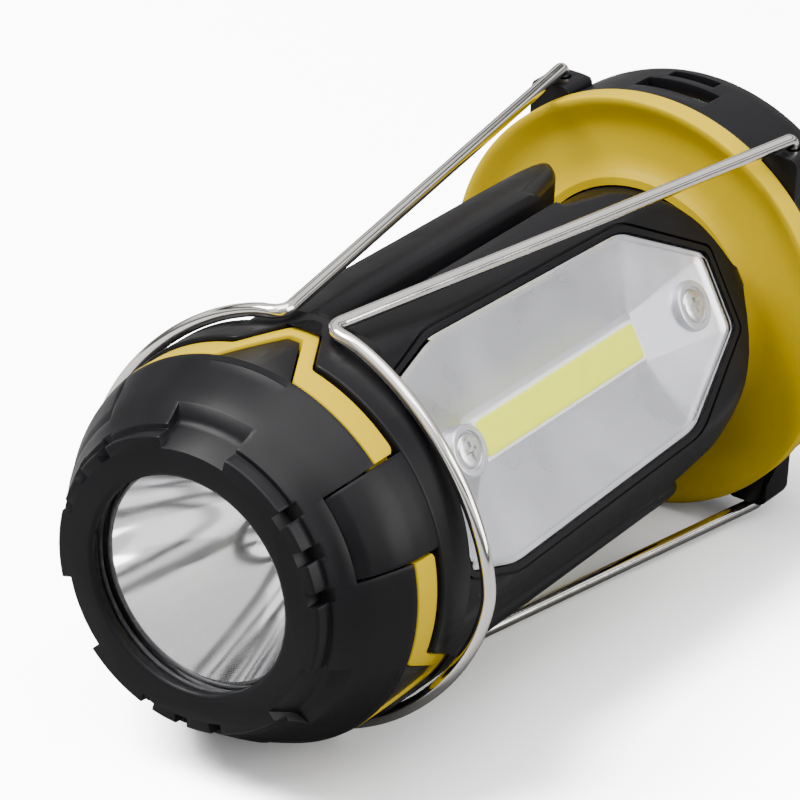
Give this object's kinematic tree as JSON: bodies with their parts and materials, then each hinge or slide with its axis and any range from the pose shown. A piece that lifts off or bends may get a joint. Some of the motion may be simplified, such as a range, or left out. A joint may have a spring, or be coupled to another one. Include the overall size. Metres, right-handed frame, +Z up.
{
  "type": "solar lantern",
  "caption": "Lying three-sided camping lantern with a torch head, light-strip windows, wire bails and a solar end cap with charging sockets",
  "frame": {"origin": "middle of the bounding box's footprint, on the surface the lantern rests on", "axes": "+Z up; the lantern's own axis lies along +Y, rising 0.8 degrees from the torch face (-Y) to the solar panel (+Y); +X is to the right when looking from the torch towards the panel"},
  "size_m": [0.0738, 0.1458, 0.0706],
  "materials": {
    "black_shell": "fine matt texture",
    "yellow_shell": "satin",
    "clear_cover": "clear moulded plastic",
    "silver_tray": "vacuum-coated, satin",
    "reflector": "bright coated",
    "chrome_wire": "polished",
    "steel": "plated",
    "phosphor": "light-emitting coating",
    "board": "solder mask",
    "led_board": "white-coated board",
    "rubber_black": "matt",
    "cell_wrap": "shrink wrap",
    "panel": "laminated cells"
  },
  "bodies": {
    "lantern": {"battery_cell": "cell_wrap", "battery_holder": "black_shell", "body_shell": "black_shell", "button_switch": "rubber_black", "cob_strip_1": "phosphor", "cob_strip_2": "phosphor", "cob_strip_3": "phosphor", "end_cap": "black_shell", "flange_disc": "yellow_shell", "head_shell": "black_shell", "lens_seal": "rubber_black", "main_board": "board", "micro_usb_socket": "steel", "reflector_tray_1": "silver_tray", "reflector_tray_2": "silver_tray", "reflector_tray_3": "silver_tray", "solar_panel": "panel", "torch_led": "phosphor", "torch_led_board": "led_board", "torch_lens": "clear_cover", "torch_reflector": "reflector", "tray_screw_far_1": "steel", "tray_screw_far_2": "steel", "tray_screw_far_3": "steel", "tray_screw_near_1": "steel", "tray_screw_near_2": "steel", "tray_screw_near_3": "steel", "trim_ring": "yellow_shell", "usb_a_socket": "steel", "window_cover_1": "clear_cover", "window_cover_2": "clear_cover", "window_cover_3": "clear_cover"},
    "bail_right": {"bail_right": "chrome_wire"},
    "bail_left": {"bail_left": "chrome_wire"},
    "button": {"power_button": "rubber_black"}
  },
  "joints": [
    {"name": "bail_right_hinge", "type": "hinge", "parent": "lantern", "child": "bail_right", "pos_m": [0.0218, 0.05959, 0.03539], "axis": [0, -0.0144, 0.9999], "range_deg": [0, 180]},
    {"name": "bail_left_hinge", "type": "hinge", "parent": "lantern", "child": "bail_left", "pos_m": [-0.0218, 0.05959, 0.03539], "axis": [0, 0.0144, -0.9999], "range_deg": [0, 180]},
    {"name": "button_press", "type": "slide", "parent": "lantern", "child": "button", "axis": [1, 0, 0], "range_m": [0, 0.0008], "stiffness_N_per_m": 400}
  ]
}
